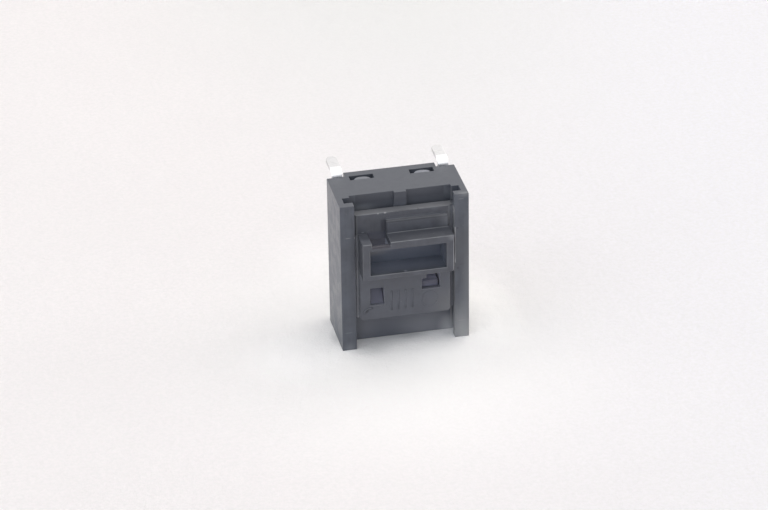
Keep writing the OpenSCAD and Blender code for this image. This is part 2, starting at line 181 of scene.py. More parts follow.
CARRIER_LIGHT_AND_SHADE = (
    # A darker tone on the peg in the left hole.
    ((-3.4, -2.8, 4.3), (-1.9, -1.2, 6.3), (0.05, 0.05, 0.05), 1.0, (0.07, 0.073, 0.108)),
    # Painted light on the hook in the right hole, which lies in the frame's shade: its top, its
    # front's foot, and its top farther in.
    ((1.5, -2.5, 6.1), (3.4, -1.0, 6.2), (0.05, 0.03, 0.02), 1.0, (0.35, 0.35, 0.43)),
    ((1.5, -2.6, 5.5), (3.4, -2.4, 5.75), (0.05, 0.05, 0.1), 1.0, (0.125, 0.13, 0.18)),
    ((1.5, -2.0, 6.1), (3.4, -1.0, 6.2), (0.05, 0.3, 0.02), 1.0, (0.65, 0.65, 0.78)),
)

FLOOR_LIGHT_AND_SHADE = (
    # Painted shade greying the paper far away, and painted light round the switch and on its right,
    # where its shadow falls.
    ((14, 95, 0), (38, 75, 50), 0.9, 1.0, (0.84, 0.84, 0.85)),
    ((-1, -2, 0), (26, 26, 50), 1.0, 0.9, (0.98, 0.97, 0.975)),
    ((9, 0, 0), (5, 9, 1), 1.0, 1.0, (1, 0.985, 0.99)),
    # Deeper shade where the switch stands.
    ((-1.4, -1.6, 0), (5, 2.1, 1), 1.0, 0.5, (0.48, 0.485, 0.5)),
    ((0.8, -1.4, 0), (2.8, 1, 1), 1.0, 0.6, (0.48, 0.485, 0.5)),
    ((-3.4, -3, 0), (3, 2.2, 1), 1.0, 0.45, (0.5, 0.505, 0.52)),
    ((-6.1, -0.5, 0), (0.9, 2.2, 1), 1.0, 0.6, (0.45, 0.455, 0.47)),
)

# Soft patches of painted light that lift the switch's shadow, a glow that the camera alone sees:
# centre, half size and strength.
FLOOR_GLOW = (
    ((8.5, 5, 0), (5, 9, 1), 0.1),
    ((8.2, -0.5, 0), (4.5, 6, 1), 0.06),
    ((-4.5, 14, 0), (7, 11, 1), 0.06),
    ((-10, -3, 0), (8, 7, 1), 0.1),
    ((1.8, -5.5, 0), (5, 3.2, 1), 0.06),
    ((-2, -13, 0), (40, 22, 1), 0.06),
)


# ---------------------------------------------------------------- settings


def colour_value(name, text, default):
    """A colour that a user can change."""
    return FloatVectorProperty(
        name=name, description=text, subtype="COLOR", size=3, min=0, max=1, default=default
    )


def small_length(name, text, default):
    """A length of well under a millimetre."""
    return FloatProperty(
        name=name, description=text, subtype="DISTANCE", unit="LENGTH", precision=6, min=0,
        default=default,
    )


def stage_length(name, text, default):
    """A length of the stage."""
    return FloatProperty(
        name=name, description=text, subtype="DISTANCE", unit="LENGTH", default=default
    )


def lamp_power(name, text, default):
    """A lamp's power."""
    return FloatProperty(name=name, description=text, unit="POWER", default=default)


class SwitchShape(PropertyGroup):
    """Sizes of the details that the looks add."""

    housing_edge: small_length("Housing edge", "Radius of the housing's moulded edges", 0.000035)
    slider_edge: small_length("Slider edge", "Radius of the slider's moulded edges", 0.00006)
    block_edge: small_length(
        "Block edge", "Radius of the soft edges of the slider's upper block", 0.00017
    )
    pin_edge: small_length("Pin edge", "Radius of the pins' edges", 0.00005)
    mark_height: small_length(
        "Mark height", "How far the slider's raised marks stand out", 0.00003
    )
    mark_width: small_length("Mark width", "Width of a raised mark's line", 0.00016)


class SwitchFinish(PropertyGroup):
    """Colours and surface of each finish."""

    housing_colour: colour_value(
        "Housing", "Colour of the housing's plastic", (0.079, 0.087, 0.107)
    )
    slider_colour: colour_value("Slider", "Colour of the slider's plastic", (0.077, 0.082, 0.099))
    carrier_colour: colour_value(
        "Carrier", "Colour of the contact carrier's plastic", (0.088, 0.091, 0.13)
    )
    # The rubbed edges' colour also paints highlights on the edges.
    rub_and_highlight_colour: colour_value(
        "Rubbed and highlit plastic", "Colour of the plastic's rubbed and highlit edges", (0.2, 0.205, 0.22)
    )
    # Painted light on the slider's right side in the channel, which lies in shade.
    side_light_colour: colour_value(
        "Slider side", "Painted light on the slider's right side in the channel", (0.2, 0.21, 0.245)
    )
    tin_colour: colour_value("Tin", "Colour of the tin plating", (0.65, 0.645, 0.65))
    silver_colour: colour_value("Silver", "Colour of the contact alloy", (0.82, 0.81, 0.79))
    copper_colour: colour_value("Copper", "Colour of the copper strip", (0.72, 0.43, 0.27))
    steel_colour: colour_value("Spring steel", "Colour of the springs", (0.52, 0.52, 0.54))
    grain_depth: small_length("Grain depth", "Depth of the mould's fine grain", 0.000006)
    edge_rub_and_highlight: FloatProperty(
        name="Edge rub and highlight", description="How strongly the edges are rubbed and highlit", subtype="FACTOR",
        min=0, max=1, default=0.9,
    )


class SwitchStage(PropertyGroup):
    """Floor, lamps and camera."""

    floor_colour: colour_value("Floor", "Colour of the paper floor", (0.935, 0.898, 0.922))
    floor_size: stage_length("Floor size", "Side of the square floor", 3)
    sky_strength: FloatProperty(
        name="Sky", description="Strength of the even light all round", default=0.3
    )
    lamp_size: stage_length("Lamp size", "Side of each square lamp", 0.8)
    key_power: lamp_power("Key lamp", "Power of the lamp behind on the right", 3.0)
    top_power: lamp_power("Top lamp", "Power of the high lamp in front", 0.85)
    rear_power: lamp_power("Rear lamp", "Power of the lamp behind on the left", 1.0)
    side_power: lamp_power("Side lamp", "Power of the lamp on the left", 1.1)
    near_power: lamp_power("Near lamp", "Power of the lamp in front on the left", 1.35)
    warm_colour: colour_value(
        "Warm light", "Colour of the key, rear and side lamps", (1.0, 0.96, 0.88)
    )
    cool_colour: colour_value("Cool light", "Colour of the near lamp", (0.8, 0.9, 1.0))
    lens: FloatProperty(
        name="Lens", description="Focal length", subtype="DISTANCE_CAMERA", default=159.4
    )
    camera_place: FloatVectorProperty(
        name="Camera place", description="Where the camera stands", subtype="TRANSLATION",
        unit="LENGTH", size=3, precision=6, default=(-0.0581539, -0.2682247, 0.1598525),
    )
    camera_aim: FloatVectorProperty(
        name="Camera aim", description="Unit vector along the view", subtype="DIRECTION", size=3,
        default=(0.181224, 0.855751, -0.484611),
    )
    camera_roll: FloatProperty(
        name="Camera roll", description="Turn about the view", subtype="ANGLE",
        default=math.radians(-0.895),
    )


# ---------------------------------------------------------------- node helpers


def new_group(name, inputs, outputs):
    """An empty shader group with named sockets, and its input and output nodes.

    inputs holds (label, default), where three numbers make a vector, and outputs holds labels.
    """
    tree = bpy.data.node_groups.new(name, "ShaderNodeTree")
    for label, default in inputs:
        kind = "NodeSocketVector" if isinstance(default, tuple) else "NodeSocketFloat"
        socket = tree.interface.new_socket(name=label, in_out="INPUT", socket_type=kind)
        socket.default_value = default
    for label in outputs:
        tree.interface.new_socket(name=label, in_out="OUTPUT", socket_type="NodeSocketFloat")
    return tree, tree.nodes.new("NodeGroupInput").outputs, tree.nodes.new("NodeGroupOutput").inputs


def set_input(tree, socket, value):
    """Links another node's socket to an input, or sets the input's own value."""
    if isinstance(value, bpy.types.NodeSocket):
        tree.links.new(value, socket)
    else:
        socket.default_value = value


def add(tree, kind, values=None, **settings):
    """A node with its settings, and values or links for its inputs."""
    node = tree.nodes.new(kind)
    for key, value in settings.items():
        setattr(node, key, value)
    for key, value in (values or {}).items():
        set_input(tree, node.inputs[key], value)
    return node


def maths(tree, operation, first, second, clamp=False):
    """A Math node's output."""
    values = {0: first, 1: second}
    return add(tree, "ShaderNodeMath", values, operation=operation, use_clamp=clamp).outputs[0]


def vector_maths(tree, operation, first, second):
    """A Vector Math node's vector output."""
    values = {0: first, 1: second}
    return add(tree, "ShaderNodeVectorMath", values, operation=operation).outputs[0]


def remap(tree, value, low, high, out_low=0.0, out_high=1.0):
    """A value taken from one range smoothly into another."""
    values = {
        "Value": value, "From Min": low, "From Max": high, "To Min": out_low, "To Max": out_high,
    }
    return add(tree, "ShaderNodeMapRange", values, interpolation_type="SMOOTHSTEP").outputs[0]


def blend_colours(tree, share_of_second, first, second):
    """A Mix node's colour output."""
    node = add(tree, "ShaderNodeMix", data_type="RGBA")
    for key, value in ((0, share_of_second), (6, first), (7, second)):
        set_input(tree, node.inputs[key], value)
    return node.outputs[2]


def noise(tree, places, scale, detail=2.0, roughness=0.5):
    """A Noise node's value."""
    values = {"Vector": places, "Scale": scale, "Detail": detail, "Roughness": roughness}
    return add(tree, "ShaderNodeTexNoise", values).outputs[0]


def in_millimetres(tree):
    """Object coordinates in millimetres."""
    places = add(tree, "ShaderNodeTexCoord").outputs["Object"]
    return vector_maths(tree, "MULTIPLY", places, (1000, 1000, 1000))


def with_alpha(colour):
    """A colour with full alpha, as a socket takes it."""
    return (*colour, 1.0)


def scaled(colour, factor):
    """A colour made lighter or darker."""
    return tuple(part * factor for part in colour)


def laid_over(tree, ground, mask, amount, colour):
    """A ground with a share of a plain colour over it where a mask allows."""
    return blend_colours(tree, maths(tree, "MULTIPLY", mask, amount), ground, with_alpha(colour))


# ---------------------------------------------------------------- shared effects


def mould_grain():
    """Fine grain and soft waviness of a moulded face."""
    tree, given, result = new_group(
        "Mould grain",
        [("Fine scale", 14.0), ("Wave scale", 0.9), ("Wave share", 0.6)],
        ["Height", "Variation"],
    )
    places = in_millimetres(tree)
    fine = noise(tree, places, given["Fine scale"], detail=3.0, roughness=0.6)
    wave = noise(tree, places, given["Wave scale"], detail=3.0, roughness=0.55)
    height = maths(tree, "ADD", fine, maths(tree, "MULTIPLY", wave, given["Wave share"]))
    tree.links.new(height, result["Height"])
    tree.links.new(remap(tree, wave, 0.3, 0.7), result["Variation"])
    return tree


def flow_streaks():
    """Faint upright streaks left by the mould."""
    tree, given, result = new_group("Flow streaks", [("Scale", 3.2), ("Length", 18.0)], ["Mask"])
    x, y, z = add(tree, "ShaderNodeSeparateXYZ", {0: in_millimetres(tree)}).outputs
    stretched = maths(tree, "DIVIDE", z, given["Length"])
    drawn = add(tree, "ShaderNodeCombineXYZ", {0: x, 1: y, 2: stretched}).outputs[0]
    lines = noise(tree, drawn, given["Scale"], detail=4.0, roughness=0.65)
    tree.links.new(remap(tree, lines, 0.36, 0.64), result["Mask"])
    return tree


def rubbed_and_highlit_edges():
    """Rounded edges rubbed lighter and painted with highlights, unevenly along their length."""
    tree, given, result = new_group("Rubbed and highlit edges", [("Amount", 0.5), ("Scale", 1.3)], ["Mask"])
    on_edge = add(tree, "ShaderNodeAttribute", attribute_name="edge").outputs["Fac"]
    patchy = noise(tree, in_millimetres(tree), given["Scale"], detail=3.0, roughness=0.6)
    uneven = remap(tree, patchy, 0.35, 0.65, out_low=0.55)
    mask = maths(tree, "MULTIPLY", on_edge, uneven)
    tree.links.new(maths(tree, "MULTIPLY", mask, given["Amount"], clamp=True), result["Mask"])
    return tree


def specks():
    """Sparse specks of dust, of a radius in cells and on a share of the cells."""
    tree, given, result = new_group(
        "Dust specks", [("Scale", 2.4), ("Radius", 0.12), ("Share", 0.1)], ["Mask"]
    )
    values = {"Vector": in_millimetres(tree), "Scale": given["Scale"]}
    cells = add(tree, "ShaderNodeTexVoronoi", values)
    near = remap(tree, cells.outputs["Distance"], 0.0, given["Radius"], out_low=1.0, out_high=0.0)
    draw = add(tree, "ShaderNodeSeparateColor", {0: cells.outputs["Color"]}).outputs[0]
    few = maths(tree, "LESS_THAN", draw, given["Share"])
    tree.links.new(maths(tree, "MULTIPLY", near, few), result["Mask"])
    return tree


def small_mark():
    """One soft-edged round patch at a place, in millimetres, with its half sizes."""
    tree, given, result = new_group(
        "Small mark", [("Centre", (0, 0, 0)), ("Half size", (1, 1, 1)), ("Softness", 0.5)], ["Mask"]
    )
    away = vector_maths(tree, "SUBTRACT", in_millimetres(tree), given["Centre"])
    away = vector_maths(tree, "DIVIDE", away, given["Half size"])
    distance = add(tree, "ShaderNodeVectorMath", {0: away}, operation="LENGTH").outputs["Value"]
    start = maths(tree, "SUBTRACT", 1.0, given["Softness"])
    tree.links.new(remap(tree, distance, start, 1.0, out_low=1.0, out_high=0.0), result["Mask"])
    return tree


def light_and_shade_box():
    """A box-shaped patch at a place, in millimetres, that fades out beyond its half sizes."""
    tree, given, result = new_group(
        "Painted light box",
        [("Centre", (0, 0, 0)), ("Half size", (1, 1, 1)), ("Fade", (0.1, 0.1, 0.1))],
        ["Mask"],
    )
    away = vector_maths(tree, "SUBTRACT", in_millimetres(tree), given["Centre"])
    away = add(tree, "ShaderNodeVectorMath", {0: away}, operation="ABSOLUTE").outputs[0]
    reach = vector_maths(tree, "ADD", given["Half size"], given["Fade"])
    inside = vector_maths(tree, "SUBTRACT", reach, away)
    inside = vector_maths(tree, "DIVIDE", inside, given["Fade"])
    x, y, z = add(tree, "ShaderNodeSeparateXYZ", {0: inside}).outputs
    least = maths(tree, "MINIMUM", maths(tree, "MINIMUM", x, y), z, clamp=True)
    tree.links.new(least, result["Mask"])
    return tree


def drawn_metal():
    """Fine drawn lines and soft stains of a metal strip."""
    tree, given, result = new_group(
        "Drawn metal", [("Line scale", 16.0), ("Stain scale", 1.6)], ["Height", "Stain"]
    )
    places = in_millimetres(tree)
    drawn = vector_maths(tree, "MULTIPLY", places, (1.0, 0.06, 0.06))
    lines = noise(tree, drawn, given["Line scale"], detail=3.0, roughness=0.6)
    tree.links.new(lines, result["Height"])
    stain = noise(tree, places, given["Stain scale"], detail=3.0, roughness=0.6)
    tree.links.new(remap(tree, stain, 0.4, 0.7), result["Stain"])
    return tree


made_groups = {}


def effect(tree, maker, **values):
    """A shared effect, built once, placed in a material with its own values."""
    if maker not in made_groups:
        made_groups[maker] = maker()
    node = add(tree, "ShaderNodeGroup", node_tree=made_groups[maker])
    for key, value in values.items():
        node.inputs[key.replace("_", " ").capitalize()].default_value = value
    return node.outputs


# ---------------------------------------------------------------- materials


def new_material(name):
    """A material with its tree, and its Principled shader."""
    material = bpy.data.materials.new(name)
    material.use_nodes = True
    return material, material.node_tree, material.node_tree.nodes["Principled BSDF"]


def add_bump(tree, shader, height, depth, strength=1.0):
    """Bump of a real depth, in metres, on a shader."""
    bump = add(tree, "ShaderNodeBump", {"Height": height, "Distance": depth, "Strength": strength})
    tree.links.new(bump.outputs["Normal"], shader.inputs["Normal"])


def with_light_boxes(tree, ground, light_boxes):
    """A ground with painted light and shade in boxes over it, from a table of boxes."""
    for low, high, fade, amount, colour in light_boxes:
        centre = [(a + b) / 2 for a, b in zip(low, high)]
        half = [(b - a) / 2 for a, b in zip(low, high)]
        patch = effect(tree, light_and_shade_box, centre=centre, half_size=half, fade=fade)
        ground = laid_over(tree, ground, patch["Mask"], amount, colour)
    return ground


def marked(tree, ground, marks):
    """A ground with soft round marks over it, from a table of marks."""
    for centre, half, softness, amount, colour in marks:
        mark = effect(tree, small_mark, centre=centre, half_size=half, softness=softness)
        ground = laid_over(tree, ground, mark["Mask"], amount, colour)
    return ground


def moulded_plastic(
    name, colour, finish, roughness, marks=(), light_boxes=(), streak=0.35, mottle=1.0
):
    """Moulded plastic with grain, flow streaks, rubbed edges with painted highlights, painted light
    and shade in boxes, marks with painted light and shade among them, and dust.
    """
    material, tree, shader = new_material(name)
    grain = effect(tree, mould_grain)
    dark = scaled(colour, 1 - MOTTLE_DARK * mottle)
    light = scaled(colour, 1 + MOTTLE_LIGHT * mottle)
    ground = blend_colours(tree, grain["Variation"], with_alpha(dark), with_alpha(light))
    streaks = effect(tree, flow_streaks)
    ground = laid_over(tree, ground, streaks["Mask"], streak, scaled(colour, STREAK_BRIGHTNESS))
    # Rubbed edges, with painted highlights strongest on those that face the lamps.
    edges = effect(tree, rubbed_and_highlit_edges, amount=finish.edge_rub_and_highlight)
    ground = blend_colours(tree, edges["Mask"], ground, with_alpha(finish.rub_and_highlight_colour))
    # Painted light and shade in boxes, then marks, some of them painted light and shade.
    ground = marked(tree, with_light_boxes(tree, ground, light_boxes), marks)
    ground = laid_over(tree, ground, effect(tree, specks)["Mask"], DUST_SHARE, DUST_COLOUR)
    tree.links.new(ground, shader.inputs["Base Color"])
    low, high = roughness - ROUGHNESS_SPREAD, roughness + ROUGHNESS_SPREAD
    rough = remap(tree, grain["Variation"], 0.0, 1.0, out_low=low, out_high=high)
    smoothed = maths(tree, "MULTIPLY", edges["Mask"], EDGE_SMOOTHING)
    tree.links.new(maths(tree, "SUBTRACT", rough, smoothed), shader.inputs["Roughness"])
    shader.inputs["IOR"].default_value = PLASTIC_IOR
    add_bump(tree, shader, grain["Height"], finish.grain_depth)
    return material


def metal_strip(name, colour, roughness, light_boxes=()):
    """Rolled strip or wire with drawn lines, soft stains and painted light in boxes."""
    material, tree, shader = new_material(name)
    metal = effect(tree, drawn_metal)
    dull = scaled(colour, STAIN_BRIGHTNESS)
    ground = laid_over(tree, with_alpha(colour), metal["Stain"], STAIN_SHARE, dull)
    tree.links.new(with_light_boxes(tree, ground, light_boxes), shader.inputs["Base Color"])
    shader.inputs["Metallic"].default_value = 1.0
    rough = remap(tree, metal["Stain"], 0.0, 1.0, roughness, roughness + STAIN_ROUGHNESS)
    tree.links.new(rough, shader.inputs["Roughness"])
    add_bump(tree, shader, metal["Height"], DRAWN_DEPTH)
    return material


# ---------------------------------------------------------------- meshes


def node_mesh(node):
    """A CAD node's surface as an editable mesh, with its flat faces whole."""
    mesh = bmesh.new()
    mesh.from_mesh(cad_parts[node].data)
    bmesh.ops.remove_doubles(mesh, verts=mesh.verts, dist=MERGE_DISTANCE)
    bmesh.ops.dissolve_limit(
        mesh, angle_limit=math.radians(FLAT_ANGLE), verts=mesh.verts, edges=mesh.edges
    )
    return mesh


def is_sharp(edge, least_angle):
    """Whether two faces meet at an edge at more than an angle, in degrees."""
    return len(edge.link_faces) == 2 and edge.calc_face_angle(0) > math.radians(least_angle)


def room_beside(edge):
    """Length of the shortest edge that a rounding of this one would eat into, in metres."""
    along = (edge.verts[1].co - edge.verts[0].co).normalized()
    room = 1.0
    for vert in edge.verts:
        for other in vert.link_edges:
            if other is edge or not any(face in edge.link_faces for face in other.link_faces):
                continue
            way = (other.verts[1].co - other.verts[0].co).normalized()
            if abs(way.dot(along)) < ALONGSIDE:
                room = min(room, other.calc_length())
    return room


def rub_and_highlight_by_facing(face):
    """Full rub and painted highlight on edges that face the front and up or right, towards the
    lamps, and a little on the others.
    """
    to_front = face.normal.y < -FACING
    return 1.0 if to_front and (face.normal.z > FACING or face.normal.x > FACING) else SIDE_RUB


def evenly(amount):
    """The same rub and painted highlight on every edge."""
    return lambda face: amount


def convex(edge):
    """Whether an edge is an outer one."""
    return edge.is_convex


def round_edges(
    mesh, radius, rub, least_angle=SHARP_ANGLE, segments=2, wanted=convex, sizes=(1.0, 0.4)
):
    """Rounds a mesh's sharp edges where there is room, and notes how rubbed and highlit each
    rounding is.

    sizes holds shares of the radius, tried one after the other.
    """
    layer = mesh.faces.layers.float.get("edge") or mesh.faces.layers.float.new("edge")
    for size in (radius * part for part in sizes):
        sharp = [
            edge
            for edge in mesh.edges
            if is_sharp(edge, least_angle)
            and wanted(edge)
            and room_beside(edge) > ROOM_FACTOR * size
            and not any(face[layer] for vert in edge.verts for face in vert.link_faces)
        ]
        if not sharp:
            continue
        made = bmesh.ops.bevel(
            mesh, geom=sharp, offset=size, offset_type="OFFSET", segments=segments, profile=0.5,
            affect="EDGES", clamp_overlap=False,
        )
        mesh.normal_update()
        for face in made["faces"]:
            face[layer] = max(rub(face), LEAST_RUB)
    return mesh


def as_piece(mesh, name, material, body, replaced):
    """Turns a mesh into a smooth-shaded piece that rides on a body and stands for CAD nodes."""
    data = bpy.data.meshes.new(name)
    for face in mesh.faces:
        face.smooth = True
    for edge in mesh.edges:
        edge.smooth = not is_sharp(edge, CREASE_ANGLE)
    mesh.to_mesh(data)
    mesh.free()
    piece = bpy.data.objects.new(name, data)
    bpy.context.collection.objects.link(piece)
    data.materials.append(material)
    weighted = piece.modifiers.new("Weighted normals", "WEIGHTED_NORMAL")
    weighted.keep_sharp = True
    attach(piece, body)
    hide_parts(*replaced)


def add_raised_line(mesh, points, line, times, y, closed):
    """Adds a low raised line along points (x, z), standing out towards -Y from a face at y.

    line holds a width and a height, and times how many times as large this one's are. All sizes
    are in millimetres.
    """
    width, height = line[0] * times[0], line[1] * times[1]
    count = len(points)
    out = Vector((0, -1, 0))
    rings = []
    for i, (x, z) in enumerate(points):
        before = points[(i - 1) % count] if closed or i else points[i]
        after = points[(i + 1) % count] if closed or i < count - 1 else points[i]
        along = Vector((after[0] - before[0], 0, after[1] - before[1])).normalized()
        side = Vector((along.z, 0, -along.x))
        base = Vector((x, y, z))
        section = [
            base - side * width / 2 + out * -SUNK,
            base - side * width / 2 + out * height * SHOULDER,
            base - side * width * CROWN + out * height,
            base + side * width * CROWN + out * height,
            base + side * width / 2 + out * height * SHOULDER,
            base + side * width / 2 + out * -SUNK,
        ]
        rings.append([mesh.verts.new(p * MM) for p in section])
    for i in range(count if closed else count - 1):
        first, second = rings[i], rings[(i + 1) % count]
        for j in range(len(first)):
            k = (j + 1) % len(first)
            mesh.faces.new((first[j], first[k], second[k], second[j]))
    if not closed:
        mesh.faces.new(rings[0][::-1])
        mesh.faces.new(rings[-1])


def curve_points(centre, radii, angles):
    """Points (x, z) on an ellipse at a range of angles, in degrees."""
    turns = [math.radians(angle) for angle in angles]
    return [
        (centre[0] + radii[0] * math.cos(a), centre[1] + radii[1] * math.sin(a)) for a in turns
    ]


def face_hit(node, start, way):
    """Where a ray first meets a node's surface, all in millimetres."""
    start_in_metres = Vector([part * MM for part in start])
    hit, place, _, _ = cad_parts[node].ray_cast(start_in_metres, Vector(way))
    if not hit:
        raise RuntimeError(f"no face of {node} on the way from {start}")
    return [part / MM for part in place]


def front_of(node, x, z):
    """Y of a node's foremost face at a place (x, z), in millimetres."""
    return face_hit(node, (x, -50, z), (0, 1, 0))[1]


def block_planes():
    """The slider's block: Z of its foot, Z of its head and Y of its front, in millimetres."""
    x, step, high = 1.2, 0.3, 20
    front = front_of("slider", x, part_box("slider")[1].z / MM - 1)
    head = face_hit("slider", (x, front + step * 0.5, high), (0, 0, -1))[2]
    foot = face_hit("slider", (x, front - step, high), (0, 0, -1))[2]
    return foot, head, front


# ---------------------------------------------------------------- pieces


def housing_marks_and_light(front):
    """Marks, painted light and painted shade on the housing, whose rails have their front at Y
    front.
    """
    pale, dark = (0.26, 0.265, 0.28), (0.04, 0.042, 0.05)
    return (
        # A scratch and a burr on the left rail, dots and scratches on both rails.
        ((-5.28, front, 11.76), (0.34, 0.1, 0.06), 0.6, 0.55, pale),
        ((-4.63, front, 11.73), (0.11, 0.12, 0.11), 0.6, 1.0, (0.5, 0.5, 0.52)),
        ((4.92, front, 11.52), (0.14, 0.1, 0.14), 0.7, 0.8, dark),
        ((4.93, front, 7.34), (0.14, 0.1, 0.16), 0.7, 0.7, dark),
        ((5.34, front, 7.7), (0.36, 0.1, 0.06), 0.6, 0.7, dark),
        ((5.32, front, 1.76), (0.5, 0.1, 0.05), 0.6, 0.4, pale),
        ((-5.38, front, 1.85), (0.5, 0.1, 0.05), 0.6, 0.4, pale),
        # Painted light on the right rail towards its foot and its outer edge, and painted shade on
        # the inner edge of the left one.
        ((6, front, -0.7), (3.4, 0.6, 6), 1.0, 0.9, (0.4, 0.405, 0.415)),
        ((6.2, front, 6), (1.3, 0.5, 10), 1.0, 0.8, (0.17, 0.176, 0.19)),
        ((-4.65, front, 7), (0.9, 0.5, 10), 1.0, 0.6, (0.06, 0.066, 0.084)),
        # Painted light on the lower band and on the head of the channel's right corner.
        ((2.2, -1.2, 0.3), (3.7, 0.9, 2.4), 1.0, 0.6, (0.26, 0.266, 0.29)),
        ((4.5, -1.2, 0.1), (1.4, 0.9, 2.1), 1.0, 0.9, (0.48, 0.485, 0.51)),
        ((4.5, -1.4, 14.1), (0.8, 0.9, 1.2), 1.0, 0.8, (0.17, 0.175, 0.19)),
        ((-3.8, -1.2, 0.7), (2.1, 0.9, 2.6), 1.0, 0.45, (0.24, 0.25, 0.28)),
        # Painted light on the right rail beside the driver frame, whose shade falls there, and at
        # the left rail's foot, paler patches at the right rail's head, and painted light at the
        # left hollow's foot.
        ((4.9, front, 9.6), (0.9, 0.4, 2.8), 1.0, 0.8, (0.13, 0.138, 0.158)),
        ((-5.3, front, 0.2), (0.9, 0.3, 0.9), 1.0, 0.7, (0.2, 0.21, 0.235)),
        ((5.6, front + 0.1, 14.95), (0.9, 0.6, 0.5), 1.0, 0.5, pale),
        ((5.25, front, 14.5), (0.36, 0.1, 0.07), 0.6, 0.4, pale),
        ((-3.5, -0.9, 13.55), (1.9, 0.6, 0.6), 1.0, 0.9, (0.22, 0.23, 0.26)),
    )


def slider_light_and_shade(finish):
    """Painted light and shade on the slider's plate, pocket, holes, sides and steps."""
    return (
        # Painted light on the plate and painted shade at its lower left corner.
        ((-4.2, -3, 3), (4.2, -2.8, 7.9), (0.2, 0.1, 0.2), 0.5, (0.108, 0.115, 0.139)),
        ((-4.2, -3, 3), (-3.2, -2.8, 4.4), (0.5, 0.1, 0.5), 0.4, (0.075, 0.08, 0.097)),
        # Painted light on the pocket's walls and back, and painted shade in the cut-out above it
        # and on the block's left side.
        ((-3.6, -3.1, 8.37), (3.6, -2.05, 10.98), (0.02, 1.2, 0.02), 1.0, (0.17, 0.187, 0.235)),
        ((-3.6, -2.08, 8.5), (3.6, -2, 10.98), (0.02, 0.02, 0.3), 1.0, (0.14, 0.157, 0.202)),
        ((-3.36, -2.3, 10.3), (-1.68, -1.9, 11.62), (0.03, 0.1, 0.3), 1.0, (0.05, 0.055, 0.08)),
        ((-2.0, -2.7, 11.7), (-1.63, -2.2, 12.88), (0.1, 0.02, 0.05), 1.0, (0.055, 0.058, 0.073)),
        # Painted light on the walls of the left hole, and on the walls and floor of the right one.
        ((-3.34, -2.75, 4.37), (-1.92, -1.25, 6.23), (0.02, 0.1, 0.02), 1.0, (0.3, 0.31, 0.36)),
        ((1.52, -2.75, 5.45), (3.34, -1.25, 7.05), (0.02, 0.1, 0.02), 1.0, (0.42, 0.43, 0.49)),
        ((1.52, -2.8, 5.4), (3.34, -1.25, 5.53), (0.02, 0.05, 0.02), 1.0, (0.22, 0.225, 0.26)),
        # Painted light on the sides in the channel, and painted shade on the driver frame's left
        # side.
        ((-4.7, -2.7, 2.9), (-4.24, -1.9, 11.4), (0.01, 0.15, 0.2), 1.0, (0.32, 0.33, 0.37)),
        ((-4.7, -2.7, 11.5), (-4.24, -1.9, 13.4), (0.01, 0.15, 0.2), 1.0, (0.15, 0.156, 0.18)),
        ((4.24, -2.7, 2.9), (4.7, -1.9, 13.4), (0.01, 0.15, 0.2), 1.0, finish.side_light_colour),
        ((-4.26, -4.35, 8.0), (-4.24, -2.75, 11.6), (0.01, 0.1, 0.1), 1.0, (0.058, 0.062, 0.075)),
        # Painted light on the shoulders beside the plate, three lengths on the left and one on the
        # right.
        ((-4.6, -2.24, 11.6), (-4.24, -2.21, 13.7), (0.01, 0.01, 0.1), 1.0, (0.11, 0.116, 0.13)),
        ((-4.6, -2.24, 7.9), (-4.05, -2.21, 11.6), (0.01, 0.01, 0.1), 1.0, (0.26, 0.27, 0.3)),
        ((-4.6, -2.24, 2.9), (-4.24, -2.21, 7.9), (0.01, 0.01, 0.1), 1.0, (0.36, 0.37, 0.4)),
        ((4.24, -2.24, 2.9), (4.6, -2.21, 13.7), (0.01, 0.01, 0.1), 1.0, (0.14, 0.147, 0.165)),
        # Painted light on the ridge and in the corner behind the block's head, and painted shade on
        # the block's head, the ledge and the cut-out's foot.
        ((-4.5, -2.13, 13.6), (4.5, -1.2, 13.7), (0.1, 0.05, 0.02), 1.0, (0.15, 0.153, 0.168)),
        ((-1.6, -2.72, 12.77), (4.0, -2.5, 13.0), (0.05, 0.02, 0.03), 1.0, (0.052, 0.055, 0.066)),
        ((-1.6, -2.49, 12.9), (4.0, -2.22, 13.05), (0.05, 0.02, 0.05), 1.0, (0.13, 0.135, 0.155)),
        ((-1.5, -4.25, 11.6), (4.2, -2.85, 11.72), (0.1, 0.1, 0.02), 1.0, (0.063, 0.067, 0.081)),
        ((-3.35, -4.5, 11.2), (-1.68, -3.8, 11.5), (0.03, 0.1, 0.05), 1.0, (0.05, 0.048, 0.062)),
    )


class SWITCH_OT_housing(Operator):
    """Build the moulded housing with rounded edges, its handling marks and painted light and shade
    """

    bl_idname = "slide_switch.housing"
    bl_label = "Housing"

    def execute(self, context):
        shape, finish = context.scene.switch_shape, context.scene.switch_finish
        marks = housing_marks_and_light(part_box("housing")[0].y / MM)
        material = moulded_plastic(
            "housing_plastic", finish.housing_colour, finish, 0.37, marks, HOUSING_LIGHT_AND_SHADE
        )
        mesh = round_edges(node_mesh("housing"), shape.housing_edge, evenly(0.3))
        as_piece(mesh, "housing_shell", material, "housing", ["housing"])
        return {"FINISHED"}


class SWITCH_OT_base(Operator):
    """Build the rear base with its snap noses, with painted light on them"""

    bl_idname = "slide_switch.base"
    bl_label = "Base"

    def execute(self, context):
        shape, finish = context.scene.switch_shape, context.scene.switch_finish
        # A paler copy of the housing's colour paints light on the noses seen through the windows.
        paler = scaled(finish.housing_colour, 1.6)
        material = moulded_plastic(
            "base_plastic", paler, finish, 0.4, light_boxes=BASE_PAINTED_LIGHT, streak=0.15, mottle=0.4
        )
        mesh = round_edges(node_mesh("base"), shape.housing_edge * 0.6, evenly(0.3))
        as_piece(mesh, "rear_base", material, "housing", ["base"])
        return {"FINISHED"}


